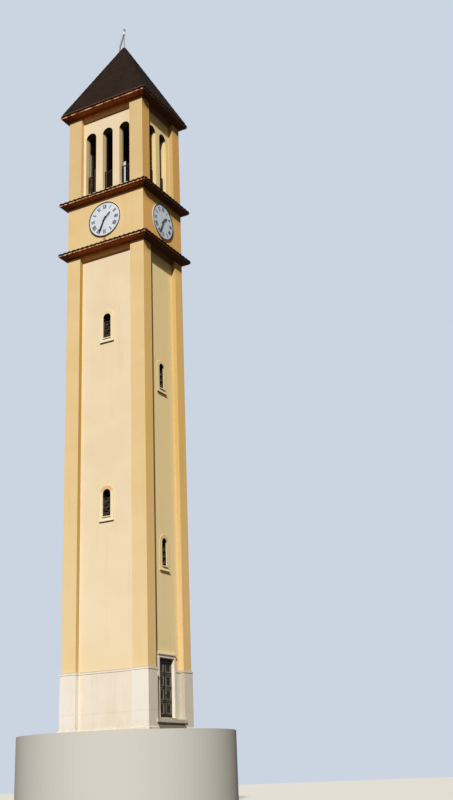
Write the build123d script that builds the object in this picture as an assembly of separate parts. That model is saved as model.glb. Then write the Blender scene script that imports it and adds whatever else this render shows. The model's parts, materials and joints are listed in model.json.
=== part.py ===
from build123d import *

import os

# A tall free-standing masonry bell tower, from ground level up, in millimetres.
# The origin is the centre of the base face and +Z is up. The front faces -Y and the
# entrance is in the right-hand face, towards +X.

os.makedirs("parts", exist_ok=True)

# Plan of the shaft
front_width = 4200
side_width = 3300
front_pilaster = 720
side_pilaster = 600
panel_recess = 210
wall_thickness = 450

# Heights of the stages, one above the other
plinth_height = 2430
shaft_stage_height = 18970
clock_stage_height = 2660
belfry_stage_height = 4860

# Plinth, with a foot course and a weathered cap
plinth_proud = 35
foot_height = 150
foot_slope_height = 30
foot_proud = 60
cap_edge_height = 62
cap_slope_height = 42
cap_overhang = 22
floor_level = 540

# Cornices, all three with one profile
cornice_height = 310
cornice_overhang = 330
tile_edge_height = 95
tile_edge_set_back = 25
fascia_height = 50
fascia_set_back = 20
band_height = 45
band_set_back = 35
bed_height = 50
bed_proud = 40
recess_splay_set_back = 45
recess_splay_drop = 80

# Small arched windows, by the height of their sills above the plinth
window_width = 390
window_height = 1170
front_window_rises = (6280, 14400)
side_window_rises = (4160, 12025)
surround_width = 150
surround_proud = 32
sill_ledge_height = 42
sill_ledge_proud = 68
sill_ledge_overrun = 22
sill_drop = 215

# Doorway and steps
door_width = 1100
door_height = 2310
jamb_width = 120
lintel_height = 120
frame_proud = 60
frame_depth = 300
hood_height = 45
hood_overrun = 40
threshold_height = 70
slab_height = 130
slab_gap = 100
slab_proud = 55
slab_lap = 70
lower_step_proud = 50
riser_set_back = 60

# Door leaves, each with a column of raised panels
leaf_set_back = 135
leaf_thickness = 50
leaf_gap = 6
meeting_gap = 10
leaf_stile = 80
leaf_rail = 150
panel_rows = 4
panel_depth = 16
panel_bevel = 34
panel_field_rise = 10
hinge_radius = 12
hinge_length = 120
hinge_places = (0.12, 0.88)
pivot_gap = 0.3
pull_foot = 900
pull_length = 580
pull_width = 24
pull_stand_off = 55

# Clock
dial_radius = 870
dial_lift = 105
dial_thickness = 35
spindle_radius = 16
running_gap = 0.3
hand_thickness = 10
hand_gap = 8
hub_radius = 60
hub_sides = 12
minute_length = 760
minute_width = 96
hour_length = 450
hour_width = 118
hand_tail = 150
hand_tail_width = 44
hand_edge = 32
hand_shoulder = 0.7
minute_angle = 204
hour_angle = 47

# Belfry, whose walls are thinner above the sills
belfry_opening_width = 575
belfry_wall_thickness = 350
belfry_sill_height = 390
belfry_head_height = 860
front_openings = 3
side_openings = 2
front_margin_share = 0.133
side_margin_share = 0.326
belfry_floor_thickness = 180
belfry_ceiling_thickness = 150
rail_height = 1040
rail_bar = 22
rail_bars = 4
rail_set_back = 200
rail_foot = 80

# Roof and finial
roof_rise = 4460
roof_set_back = 30
roof_thickness = 140
finial_radius = 26
finial_height = 1060
apex_cut = 75
tip_radius = 46
tip_height = 150
bearing_rise = 720
bearing_height = 24
bearing_radius = 52
sleeve_height = 150
sleeve_radius = 40
vane_tail_length = 1350
vane_tail_depth = 270
vane_tail_notch = 170
vane_neck_depth = 130
vane_nose_length = 330
vane_thickness = 14
vane_heading = 135

# Values worked out from those above
half_front = front_width / 2
half_side = side_width / 2
hollow_x = half_front - panel_recess - wall_thickness
hollow_y = half_side - panel_recess - wall_thickness
lower_cornice_top = plinth_height + shaft_stage_height
upper_cornice_top = lower_cornice_top + clock_stage_height
eaves_top = upper_cornice_top + belfry_stage_height
shaft_top = lower_cornice_top - cornice_height
clock_top = upper_cornice_top - cornice_height
belfry_top = eaves_top - cornice_height
belfry_sill = upper_cornice_top + belfry_sill_height
dial_centre = (lower_cornice_top + clock_top) / 2 + dial_lift
door_head = floor_level + door_height
frame_top = door_head + lintel_height
half_door = door_width / 2
half_doorway = half_door + jamb_width
apex = eaves_top + roof_rise

# Each side in turn: distance of its face from the middle, half the run between its
# pilasters, heights of its window sills, and the number and margin share of its openings
front_details = (
    half_side,
    half_front - front_pilaster,
    [plinth_height + rise for rise in front_window_rises],
    (front_openings, front_margin_share),
)
side_details = (
    half_front,
    half_side - side_pilaster,
    [plinth_height + rise for rise in side_window_rises],
    (side_openings, side_margin_share),
)
sides = ["front", "right", "back", "left"]


def details(side):
    return side_details if side in ("right", "left") else front_details


def face_of(side):
    return details(side)[0]


def run_of(side):
    return details(side)[1]


def sills_of(side):
    return details(side)[2]


def openings_of(side):
    """Places of the belfry openings along a wall, with the piers between them all alike."""
    count, margin_share = details(side)[3]
    spare = 2 * run_of(side) - count * belfry_opening_width
    pier = spare * (1 - 2 * margin_share) / (count - 1)
    pitch = belfry_opening_width + pier
    return [(number - (count - 1) / 2) * pitch for number in range(count)]


def turned(side, shape):
    """Carries a shape drawn on the front over to another side."""
    return Rot(0, 0, sides.index(side) * 90) * shape


def block(x_range, y_range, z_range):
    """A box that spans three ranges."""
    spans = (x_range, y_range, z_range)
    centre = [(low + high) / 2 for low, high in spans]
    size = [high - low for low, high in spans]
    return Pos(*centre) * Box(*size)


def mirrored_outline(points):
    """A closed face from points to the right of the upright axis and their mirror images."""
    left = [(-x, z) for x, z in reversed(points)]
    return make_face(Polyline(*points, *left, close=True))


def banded(profile):
    """A rectangular block whose four sides follow one profile of (growth, height), mitred."""
    across = mirrored_outline([(half_front + grow, z) for grow, z in profile])
    along = mirrored_outline([(half_side + grow, z) for grow, z in profile])
    lengthwise = extrude(Plane.XZ * across, amount=front_width, both=True)
    return lengthwise & extrude(Plane.YZ * along, amount=front_width, both=True)


def banded_recess(side, profile):
    """The space between two pilasters, narrowed by the same profile."""
    run = run_of(side)
    back = face_of(side) - panel_recess
    across = mirrored_outline([(run - grow, z) for grow, z in profile])
    inner = [(-back - grow, z) for grow, z in profile]
    outer = [(-front_width, z) for grow, z in reversed(profile)]
    along = make_face(Polyline(*inner, outer[0], outer[-1], close=True))
    lengthwise = extrude(Plane.XZ * across, amount=front_width, both=True)
    return turned(side, lengthwise & extrude(Plane.YZ * along, amount=front_width, both=True))


def hollow_column(z_range):
    """The space inside the shaft."""
    return block((-hollow_x, hollow_x), (-hollow_y, hollow_y), z_range)


def arched(width, z_range, reach):
    """An upright cutter with a half-round head, across the front wall."""
    low, high = z_range
    springing = high - width / 2
    outline = Pos(0, (low + springing) / 2) * Rectangle(width, springing - low)
    outline += Pos(0, springing) * Circle(width / 2)
    return extrude(Plane.XZ * outline, amount=reach, both=True)


def on_face(face, height):
    """A drawing plane on the front face, looking out of the wall."""
    return Plane(origin=(0, -face, height), x_dir=(1, 0, 0), z_dir=(0, -1, 0))


def save(name, shape):
    export_step(shape, f"parts/{name}.step")


# Plinth with its foot course and weathered cap
def plinth_ring():
    cap_grow = plinth_proud + cap_overhang
    slope_foot = plinth_height - cap_slope_height
    cap_foot = slope_foot - cap_edge_height
    wall_and_cap = [
        (plinth_proud, cap_foot), (cap_grow, cap_foot),
        (cap_grow, slope_foot), (0, plinth_height),
    ]
    foot_grow = plinth_proud + foot_proud
    foot_course = [
        (foot_grow, 0), (foot_grow, foot_height), (plinth_proud, foot_height + foot_slope_height),
    ]
    plain_foot = [(plinth_proud, 0)]
    ring = banded(foot_course + wall_and_cap)
    for side in sides:
        # the steps fill the foot of the entrance recess, so no foot course turns into it
        foot = plain_foot if side == "right" else foot_course
        ring -= banded_recess(side, foot + wall_and_cap)
    return ring - hollow_column((0, plinth_height))


def plinth_walls():
    ring = plinth_ring()
    far = front_width
    span = (-far, far)
    tall = (0, plinth_height)
    save("plinth_front", ring & block(span, (-far, -hollow_y), tall))
    save("plinth_back", ring & block(span, (hollow_y, far), tall))
    save("plinth_left", ring & block((-far, 0), (-hollow_y, hollow_y), tall))
    save("plinth_right_near", ring & block((0, far), (-hollow_y, -half_doorway), tall))
    save("plinth_right_far", ring & block((0, far), (half_doorway, hollow_y), tall))


# Shaft
def pier_blocks(z_range):
    piers = []
    for x_sign in (-1, 1):
        for y_sign in (-1, 1):
            x_range = sorted((x_sign * (half_front - front_pilaster), x_sign * half_front))
            y_range = sorted((y_sign * (half_side - side_pilaster), y_sign * half_side))
            piers.append(block(x_range, y_range, z_range))
    return piers


def panel(side, z_range, thickness=wall_thickness):
    """The recessed wall between two pilasters, drawn on the front."""
    run = run_of(side)
    outer = face_of(side) - panel_recess
    return block((-run, run), (-outer, -outer + thickness), z_range)


def shaft_wall(side):
    foot = frame_top if side == "right" else plinth_height
    wall = panel(side, (foot, shaft_top))
    for sill in sills_of(side):
        wall -= arched(window_width, (sill, sill + window_height), front_width)
    return turned(side, wall)


def door_side_wall(hand):
    """The short wall beside the doorway, above the plinth. Hand is -1 near the front, 1 far."""
    span = (plinth_height, frame_top)
    beside = sorted((hand * half_doorway, hand * run_of("right")))
    return turned("right", panel("right", span) & block(beside, (-front_width, 0), span))


def window_surround(side, sill):
    """A flat arched architrave that ends below in an apron between two thin ledges."""
    face = face_of(side) - panel_recess
    width = window_width + 2 * surround_width
    foot = sill - sill_drop
    top = sill + window_height + surround_width
    surround = arched(width, (foot, top), front_width)
    surround &= block((-width, width), (-face - surround_proud, -face), (foot, top))
    surround -= arched(window_width, (sill, sill + window_height), front_width)
    ledge_depth = (-face - sill_ledge_proud, -face)
    half_upper = window_width / 2 + sill_ledge_overrun
    half_lower = width / 2 + sill_ledge_overrun
    surround += block((-half_upper, half_upper), ledge_depth, (sill - sill_ledge_height, sill))
    surround += block((-half_lower, half_lower), ledge_depth, (foot, foot + sill_ledge_height))
    return turned(side, surround)


# Cornices
def mitred(side, shape):
    """One side's length of a ring, between the upright mitres at its corners."""
    inner = face_of(side) - panel_recess - wall_thickness
    half_inner = hollow_y if side in ("right", "left") else hollow_x
    reach = front_width
    plan = Polyline((-half_inner, -inner), (half_inner, -inner), (half_inner + reach, -inner - reach),
                    (-half_inner - reach, -inner - reach), close=True)
    return shape & turned(side, extrude(make_face(plan), amount=apex))


def cornice(top, recessed_below):
    """Tile edge, fascia, band, soffit and bed mould, with a splay in each recess below."""
    foot = top - cornice_height
    tile_foot = top - tile_edge_height
    fascia_foot = tile_foot - fascia_height
    band_foot = fascia_foot - band_height
    fascia_grow = cornice_overhang - tile_edge_set_back
    band_grow = fascia_grow - fascia_set_back
    soffit_grow = band_grow - band_set_back
    whole = banded([
        (0, foot), (bed_proud, foot + bed_height), (soffit_grow, band_foot), (band_grow, fascia_foot),
        (fascia_grow, fascia_foot), (fascia_grow, tile_foot), (cornice_overhang, tile_foot),
        (cornice_overhang, top),
    ])
    if recessed_below:
        splay_foot = foot - recess_splay_drop
        for side in sides:
            back = -face_of(side) + panel_recess
            edge = back - panel_recess + recess_splay_set_back
            wedge = Polyline((edge, foot), (back, foot), (back, splay_foot), close=True)
            filler = extrude(Plane.YZ * make_face(wedge), amount=run_of(side), both=True)
            whole += turned(side, filler)
    ring = whole - hollow_column((foot - recess_splay_drop, top))
    return Compound(children=[mitred(side, ring) for side in sides])


# Doorway
def door_frame():
    """Stone jambs and lintel with a thin projecting hood."""
    face = half_front - panel_recess
    outer = -face - frame_proud
    depth = (outer, outer + frame_depth)
    frame = block((-half_doorway, half_doorway), depth, (floor_level, frame_top))
    frame -= block((-half_door, half_door), depth, (floor_level, door_head))
    half_hood = half_doorway + hood_overrun
    hood_depth = (outer - hood_overrun, -face)
    hood = block((-half_hood, half_hood), hood_depth, (frame_top, frame_top + hood_height))
    return turned("right", frame + hood)


def entrance_steps():
    """Threshold, projecting slab and lower step between the two side pilasters."""
    half_run = run_of("right") - plinth_proud
    half_lip = run_of("right") + slab_lap
    slab_top = floor_level - threshold_height
    slab_foot = slab_top - slab_height
    step_top = slab_foot - slab_gap
    back = -(half_front - panel_recess) - plinth_proud
    outer = -half_front - plinth_proud
    steps = block((-half_doorway, half_doorway), (back, -hollow_x), (0, floor_level))
    threshold_depth = (back - frame_proud, back)
    steps += block((-half_doorway, half_doorway), threshold_depth, (slab_top, floor_level))
    steps += block((-half_run, half_run), (outer, back), (slab_foot, slab_top))
    steps += block((-half_lip, half_lip), (outer - slab_proud, outer), (slab_foot, slab_top))
    steps += block((-half_run, half_run), (outer + riser_set_back, back), (step_top, slab_foot))
    steps += block((-half_run, half_run), (outer - lower_step_proud, back), (0, step_top))
    return turned("right", steps)


def door_leaf(hand):
    """One panelled leaf with its hinges and foot pivot. Hand is -1 near the front, 1 far."""
    outer = -(half_front - panel_recess) - frame_proud + leaf_set_back
    inner = outer + leaf_thickness
    low = floor_level + leaf_gap
    high = door_head - leaf_gap
    edge = hand * (half_door - leaf_gap)
    meeting = hand * meeting_gap / 2
    leaf = block(sorted((meeting, edge)), (outer, inner), (low, high))

    panel_height = (high - low - (panel_rows + 1) * leaf_rail) / panel_rows
    half_panel = (abs(edge - meeting) - 2 * leaf_stile) / 2
    middle = (meeting + edge) / 2
    sunk = outer + panel_depth
    for row in range(panel_rows):
        foot = low + leaf_rail + row * (panel_height + leaf_rail)
        head = foot + panel_height
        leaf -= block((middle - half_panel, middle + half_panel), (outer, sunk), (foot, head))
        half_field = half_panel - panel_bevel
        field_depth = (sunk - panel_field_rise, sunk)
        field_height = (foot + panel_bevel, head - panel_bevel)
        leaf += block((middle - half_field, middle + half_field), field_depth, field_height)

    axis_x = edge - hand * hinge_radius
    for share in hinge_places:
        z = low + share * (high - low)
        leaf += Pos(axis_x, inner, z) * Cylinder(hinge_radius, hinge_length)
    foot = floor_level + pivot_gap
    pivot_top = low + hinge_length
    leaf += Pos(axis_x, inner, (foot + pivot_top) / 2) * Cylinder(hinge_radius, pivot_top - foot)
    if hand == 1:
        leaf += Pos(meeting + leaf_stile / 2, outer, floor_level + pull_foot) * pull_handle()
    return turned("right", leaf)


def pull_handle():
    """An upright pull bar on two stand-offs, from the middle of its foot on the leaf's face."""
    width = (-pull_width / 2, pull_width / 2)
    bar = block(width, (-pull_stand_off, pull_width - pull_stand_off), (0, pull_length))
    bar += block(width, (-pull_stand_off, 0), (0, pull_width))
    return bar + block(width, (-pull_stand_off, 0), (pull_length - pull_width, pull_length))


# Clock
def dial(side):
    """A round dial with the spindle that carries both hands."""
    plane = on_face(face_of(side), dial_centre)
    spindle_reach = dial_thickness + 3 * hand_gap + 2 * hand_thickness
    disc = extrude(plane * Circle(dial_radius), amount=dial_thickness)
    return turned(side, disc + extrude(plane * Circle(spindle_radius), amount=spindle_reach))


def hand_outline(length, width, has_hub):
    """A tapering openwork hand that points up, bored for the spindle."""
    shoulder = length * hand_shoulder
    blade = [(hand_tail_width / 2, -hand_tail), (width / 2, shoulder), (0, length)]
    slot = [
        (hand_tail_width / 4, hub_radius + hand_edge / 2),
        (width / 2 - hand_edge, shoulder),
        (0, shoulder + (length - shoulder) * (1 - 2 * hand_edge / width) - hand_edge / 2),
    ]
    shape = make_face(Polyline(*blade, (-width / 2, shoulder), (-hand_tail_width / 2, -hand_tail),
                               close=True))
    if has_hub:
        shape += RegularPolygon(hub_radius, hub_sides)
    shape -= make_face(Polyline(*slot, (-slot[1][0], shoulder), (-slot[0][0], slot[0][1]), close=True))
    return shape - Circle(spindle_radius + running_gap)


def hand(side, length, width, angle, layer):
    """A hand at its clock angle. Layer 0 is next to the dial, and layer 1 carries the hub."""
    stand_off = dial_thickness + hand_gap + layer * (hand_gap + hand_thickness)
    plane = on_face(face_of(side) + stand_off, dial_centre)
    shape = plane * Rot(0, 0, -angle) * hand_outline(length, width, layer == 1)
    return turned(side, extrude(shape, amount=hand_thickness))


# Clock stage
def clock_wall(side):
    """A plain wall; those at the front and back reach out to the corners."""
    face = face_of(side)
    across, inner = (hollow_y, hollow_x) if side in ("right", "left") else (half_front, hollow_y)
    return turned(side, block((-across, across), (-face, -inner), (lower_cornice_top, clock_top)))


# Belfry
def belfry_wall(side):
    """A full wall up to the sills, which carries the floor, and a thinner arcade on it."""
    wall = panel(side, (upper_cornice_top, belfry_sill))
    wall += panel(side, (belfry_sill, belfry_top), belfry_wall_thickness)
    arch_top = belfry_top - belfry_head_height
    cutter = arched(belfry_opening_width, (belfry_sill, arch_top), front_width)
    for place in openings_of(side):
        wall -= Pos(place, 0, 0) * cutter
    return turned(side, wall)


def railing(side, place):
    """A low iron railing from jamb to jamb of one belfry opening."""
    half = belfry_opening_width / 2
    half_bar = rail_bar / 2
    low = belfry_sill + rail_foot
    high = belfry_sill + rail_height
    middle = -(face_of(side) - panel_recess) + rail_set_back
    depth = (middle - half_bar, middle + half_bar)
    rails = block((-half, half), depth, (high - rail_bar, high))
    rails += block((-half, half), depth, (low, low + rail_bar))
    bar_pitch = belfry_opening_width / (rail_bars + 1)
    for number in range(rail_bars):
        x = -half + (number + 1) * bar_pitch
        rails += block((x - half_bar, x + half_bar), depth, (low, high))
    return turned(side, Pos(place, 0, 0) * rails)


# Roof and finial
def pyramid(half_width, half_depth, rise):
    """A four-sided roof form, as what two gabled prisms have in common."""
    gable = make_face(Polyline((half_width, 0), (0, rise), (-half_width, 0), close=True))
    side_gable = make_face(Polyline((half_depth, 0), (0, rise), (-half_depth, 0), close=True))
    lengthwise = extrude(Plane.XZ * gable, amount=2 * half_depth, both=True)
    return lengthwise & extrude(Plane.YZ * side_gable, amount=2 * half_width, both=True)


def roof():
    grow = cornice_overhang - roof_set_back
    half_width = half_front + grow
    half_depth = half_side + grow
    inner_rise = roof_rise * (1 - roof_thickness / half_depth)
    inner = pyramid(half_width - roof_thickness, half_depth - roof_thickness, inner_rise)
    outer = pyramid(half_width, half_depth, roof_rise)
    across = (-half_width, half_width)
    outer -= block(across, across, (roof_rise - apex_cut, roof_rise))
    return Pos(0, 0, eaves_top) * (outer - inner)


def finial_post():
    """A post on the cut apex, with the vane's bearing and a four-sided spear tip."""
    length = apex_cut + finial_height
    post = Pos(0, 0, length / 2 - apex_cut) * Cylinder(finial_radius, length)
    post += Pos(0, 0, bearing_rise + bearing_height / 2) * Cylinder(bearing_radius, bearing_height)
    tip = pyramid(tip_radius, tip_radius, tip_height / 2)
    post += Pos(0, 0, finial_height) * (tip + Rot(180, 0, 0) * tip)
    return Pos(0, 0, apex) * post


def wind_vane():
    """A banner-shaped vane on a sleeve that turns on the finial's bearing."""
    foot = apex + bearing_rise + bearing_height + pivot_gap
    half_tail = vane_tail_depth / 2
    half_neck = vane_neck_depth / 2
    outline = Polyline(
        (-vane_nose_length, 0), (0, half_neck), (vane_tail_length, half_tail),
        (vane_tail_length - vane_tail_notch, 0), (vane_tail_length, -half_tail),
        (0, -half_neck), close=True,
    )
    vane = extrude(Plane.XZ * make_face(outline), amount=vane_thickness / 2, both=True)
    vane += Cylinder(sleeve_radius, sleeve_height)
    vane -= Cylinder(finial_radius + running_gap, 2 * sleeve_height)
    return Pos(0, 0, foot + sleeve_height / 2) * Rot(0, 0, vane_heading) * vane


# Ground floor, plinth and entrance
save("ground_floor", hollow_column((0, floor_level)))
plinth_walls()
save("entrance_steps", entrance_steps())
save("door_frame", door_frame())
for place_name, hand_sign in (("near", -1), ("far", 1)):
    save(f"door_side_wall_{place_name}", door_side_wall(hand_sign))
    save(f"door_leaf_{place_name}", door_leaf(hand_sign))

# Shaft, clock stage and belfry walls
save("shaft_piers", Compound(children=pier_blocks((plinth_height, shaft_top))))
save("belfry_piers", Compound(children=pier_blocks((upper_cornice_top, belfry_top))))
for side_name in sides:
    save(f"shaft_wall_{side_name}", shaft_wall(side_name))
    save(f"clock_wall_{side_name}", clock_wall(side_name))
    save(f"belfry_wall_{side_name}", belfry_wall(side_name))
surrounds = [window_surround(side_name, sill) for side_name in sides for sill in sills_of(side_name)]
save("window_surrounds", Compound(children=surrounds))
save("lower_cornice", cornice(lower_cornice_top, True))
save("upper_cornice", cornice(upper_cornice_top, False))
save("eaves_cornice", cornice(eaves_top, True))

# Clock
save("clock_dials", Compound(children=[dial(side_name) for side_name in sides]))
for side_name in sides:
    save(f"hour_hand_{side_name}", hand(side_name, hour_length, hour_width, hour_angle, 0))
    save(f"minute_hand_{side_name}", hand(side_name, minute_length, minute_width, minute_angle, 1))

# Belfry floor, railings and ceiling
save("belfry_floor", hollow_column((belfry_sill - belfry_floor_thickness, belfry_sill)))
railings = [railing(side_name, place) for side_name in sides for place in openings_of(side_name)]
save("belfry_railings", Compound(children=railings))
save("belfry_ceiling", hollow_column((eaves_top - belfry_ceiling_thickness, eaves_top)))

# Roof
save("roof", roof())
save("finial_post", finial_post())
save("wind_vane", wind_vane())
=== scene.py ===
import json
import math

import bpy
from mathutils import Matrix, Vector


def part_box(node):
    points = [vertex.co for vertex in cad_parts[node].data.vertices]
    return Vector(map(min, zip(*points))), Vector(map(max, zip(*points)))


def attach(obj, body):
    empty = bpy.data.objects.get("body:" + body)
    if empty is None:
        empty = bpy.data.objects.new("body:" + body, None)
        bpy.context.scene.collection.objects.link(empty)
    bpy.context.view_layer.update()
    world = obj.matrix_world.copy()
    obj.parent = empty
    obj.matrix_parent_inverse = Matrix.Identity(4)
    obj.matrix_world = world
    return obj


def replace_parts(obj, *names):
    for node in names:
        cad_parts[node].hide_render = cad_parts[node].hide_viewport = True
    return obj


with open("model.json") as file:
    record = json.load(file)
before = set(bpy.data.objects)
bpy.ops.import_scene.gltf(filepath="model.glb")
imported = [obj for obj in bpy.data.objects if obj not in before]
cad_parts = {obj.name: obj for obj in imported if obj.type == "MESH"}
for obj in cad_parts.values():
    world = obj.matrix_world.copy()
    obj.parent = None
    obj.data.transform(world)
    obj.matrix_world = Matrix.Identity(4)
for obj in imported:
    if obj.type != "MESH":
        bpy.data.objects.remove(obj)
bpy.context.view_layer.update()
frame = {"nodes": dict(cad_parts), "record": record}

# Looks for a free-standing bell tower. Sizes are in metres. The origin is the centre of the
# base, +Z is up, the front faces -Y and the entrance face is towards +X.

slot_of = {part["node"]: part["material_slot"] for part in frame["record"]["subparts"]}


def each_side(wide, narrow):
    """One value for the front and back and one for the two narrow sides."""
    return {"front": wide, "right": narrow, "back": wide, "left": narrow}


# Sizes shared with the solids. A side's face is measured off the middle, its run between piers.
half_front = 2.1
half_side = 1.65
half_of = {"X": half_front, "Y": half_side}
face_of = each_side(half_side, half_front)
half_length = each_side(half_front, half_side)
half_run = each_side(1.38, 1.05)
panel_recess = 0.21
plinth_proud = 0.035
plinth_top = 2.43
plinth_cap_foot = 2.326
foot_course_top = 0.18
wall_thickness = 0.45
belfry_wall_thickness = 0.35
cornice_height = 0.31
cornice_reach = 0.33
cornice_tops = {"lower_cornice": 21.4, "upper_cornice": 24.06, "eaves_cornice": 28.92}
tile_band_height = 0.095
fascia_reach = 0.305
fascia_height = 0.05
band_reach = 0.285
band_height = 0.045
soffit_reach = 0.25
bed_height = 0.05
bed_reach = 0.04
recess_edge = 0.045
recess_drop = 0.16
dial_radius = 0.87
dial_centre = 22.68
dial_thickness = 0.035
window_width = 0.39
window_height = 1.17
window_sills = each_side((8.71, 16.83), (6.59, 14.455))
belfry_sill = 24.45
opening_width = 0.575
opening_places = each_side((-0.955, 0.0, 0.955), (-0.4525, 0.4525))
rail_foot = 0.08
rail_height = 1.04
rail_set_back = 0.20
roof_foot = 28.92
roof_rise = 4.46
roof_reach = 0.30
door_face = 1.815
leaf_foot = 0.546
leaf_height = 2.298
leaf_rail = 0.15
leaf_stile = 0.08
leaf_inner_edge = 0.005
leaf_outer_edge = 0.544
panel_rows = 4
panel_depth = 0.016
vane_tail_length = 1.35
vane_tail_depth = 0.27
vane_neck_depth = 0.13
vane_tail_notch = 0.17
vane_heading = math.radians(135)

# Sizes of what is added here
clearance = 0.002
tile_pitch = 0.26
cover_half_width = 0.105
cover_height = 0.085
cover_thickness = 0.034
cover_steps = 10
pan_half_width = 0.100
pan_edge = 0.074
pan_dish = 0.018
pan_thickness = 0.022
pan_steps = 6
shortest_tile = 0.02
mortar_set_back = 0.012
mortar_overlap = 0.001
tile_slope = 0.30
tile_set_back = 0.03
tile_end_depth = 0.018
shingle_width = 0.25
shingle_exposure = 0.20
shingle_joint = 0.004
shingle_lip = 0.013
shingle_head = 0.004
shingle_tip = 0.002
narrowest_shingle = 0.02
first_course = 0.03
bare_apex = 0.12
hip_radius = 0.055
hip_taper = 0.006
hip_length = 0.36
hip_overlap = 0.05
hip_sink = 0.034
hip_foot_gap = 0.16
hip_top_gap = 0.10
numeral_centre = 0.640
numeral_height = 0.190
numeral_relief = 0.0030
relief_step = 0.0002
letter_widths = {"I": 0.052, "V": 0.105, "X": 0.110}
letter_lean = 0.32
thick_stroke = 0.036
thin_stroke = 0.018
serif_height = 0.012
rim_steps = 96
rim_inset = 0.001
rail_frame_width = 0.045
rail_frame_depth = 0.03
rail_frame_proud = 0.001
grille_height = 0.80
grille_rows = 3
grille_set_back = 0.035
grille_foot = 0.012
half_bar = 0.006
grille_post = 0.022
scroll_turns = 1.5
scroll_radius = 0.088
scroll_winding = 0.78
scroll_offset = 0.095
scroll_stagger = 0.03
scroll_thickness = 0.0085
ring_radius = 0.026
ring_thickness = 0.008
slab_width = 0.9
slab_course_top = 0.78
half_joint = 0.0025
slab_relief = 0.006
half_bead = 0.009
bead_height = 0.008
vane_bead = 0.024
vane_bead_start = 0.08
stand_radius = 4.4
stand_height = 3.3
floor_radius = 150

# Each step of a door panel's moulding: its inset, its width and its height over the leaf's face
moulding_steps = [(-0.016, 0.016, 0.010), (0.0, 0.014, 0.004), (0.040, 0.010, -0.002)]

# A dial rim's section: how far in from the dial's edge, and how high over its face
rim_section = [(0.045, 0.0), (0.040, 0.010), (0.012, 0.025), (0.0, 0.020), (0.0, 0.0)]

# Where painted light and shade, dirt, rust and tone change on the walls. Pairs run from no effect to the
# full one.
face_margin = 0.05
side_faces_start = 1.85
shaft_limit = 23.0
side_reveal_depth = 0.035
front_reveal_depth = 0.004
side_light_change = (20.9, 21.5)
jamb_shading_change = (21.5, 22.5)
belfry_dirt_rise = (23.4, 24.6)
paler_towards_foot = (12.0, 5.0)
foot_stain_top = 4.2
cornice_shade_depth = 0.65
splay_shade_depth = 0.25
corner_shade_edge = (-0.58, -0.63)
inward_shade_depths = (0.20, 0.36)
hidden_inward_shade_shift = 0.20
rust_half_widths = (0.13, 0.03)
rust_foot = (21.36, 21.40)
rust_top = (21.95, 21.80)
leaf_top_shade = (leaf_foot + 2.0, leaf_foot + 2.06)

sides = ["front", "right", "back", "left"]


def turned_to(side):
    return Matrix.Rotation(math.radians(90) * sides.index(side), 4, "Z")


def wall(side, distance, height=0.0):
    """Axes of a wall: x runs to the right along it, y is up and z points out of it."""
    facing = Matrix(((1, 0, 0, 0), (0, 0, -1, -distance), (0, 1, 0, height), (0, 0, 0, 1)))
    return turned_to(side) @ facing


def rgb(red, green, blue):
    """A screen colour, 0 to 255, as the linear colour that a shader takes."""
    linear = []
    for value in (red, green, blue):
        share = value / 255
        linear.append(((share + 0.055) / 1.055) ** 2.4 if share > 0.04045 else share / 12.92)
    return (*linear, 1.0)


# painted shade for the inside of the tower and deep in its small windows
interior_painted_shade = (24, 20, 18)


def linked(name, data):
    """A new object in the scene."""
    item = bpy.data.objects.new(name, data)
    bpy.context.scene.collection.objects.link(item)
    return item


# Camera at the photograph's place
def add_camera():
    yaw, pitch, roll = -0.4919, 0.3412, -0.038
    level_part = math.cos(pitch)
    forward = Vector((math.sin(yaw) * level_part, math.cos(yaw) * level_part, math.sin(pitch)))
    level = Vector((math.cos(yaw), -math.sin(yaw), 0))
    upright = level.cross(forward)
    right = level * math.cos(roll) + upright * math.sin(roll)
    up = upright * math.cos(roll) - level * math.sin(roll)
    camera = linked("camera", bpy.data.cameras.new("camera"))
    placed = Matrix((right, up, -forward)).transposed().to_4x4()
    placed.translation = (25.0387, -37.17, -1.7072)
    camera.matrix_world = placed
    camera.data.lens = 47.556
    camera.data.clip_end = 500
    bpy.context.scene.camera = camera


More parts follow.
